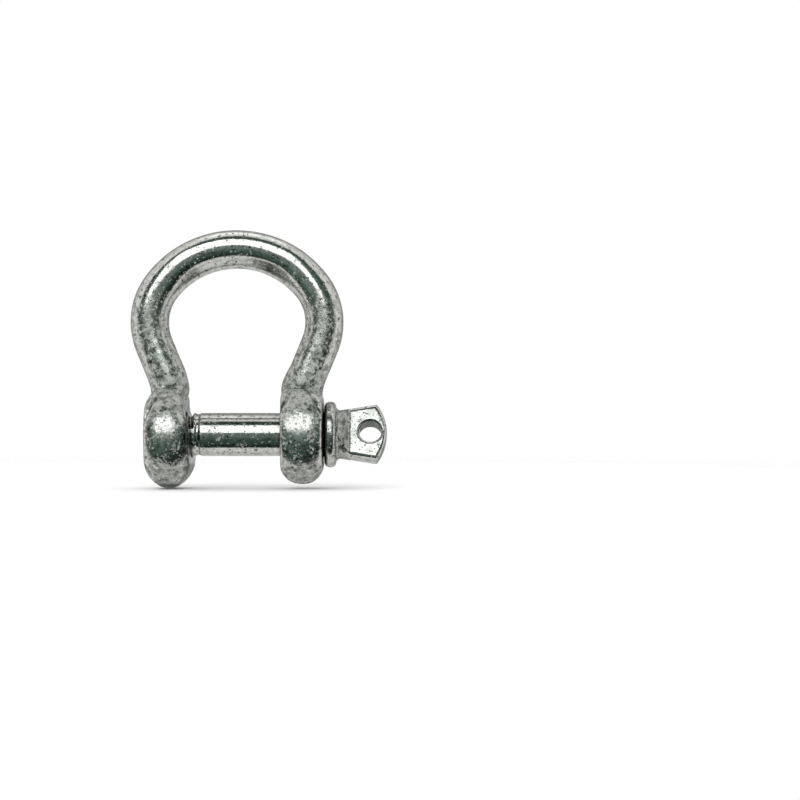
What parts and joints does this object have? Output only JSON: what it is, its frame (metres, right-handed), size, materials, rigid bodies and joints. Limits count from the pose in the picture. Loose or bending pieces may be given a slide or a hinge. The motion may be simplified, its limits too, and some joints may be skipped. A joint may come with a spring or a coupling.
{
  "type": "bow shackle",
  "caption": "Galvanised bow shackle: a round bar bent into a rounded bow with an eye at each foot, closed by a screw pin with a collar and a flat eye head.",
  "frame": {"origin": "on the axis of the pin, midway between the two eyes' inner faces", "axes": "+X along the pin from its thread to its head, +Z from the pin to the crown of the bow, +Y through the bow away from the viewer"},
  "size_m": [0.0588, 0.024, 0.0591],
  "materials": {
    "zinc_bow": "hot-dip galvanised, uneven satin",
    "zinc_pin": "hot-dip galvanised, brighter satin"
  },
  "bodies": {
    "bow": {"bow": "zinc_bow"},
    "pin": {"screw_pin": "zinc_pin"}
  },
  "joints": [
    {"name": "pin_withdraw", "type": "slide", "parent": "bow", "child": "pin", "axis": [1, 0, 0], "range_m": [0, 0.038]}
  ]
}
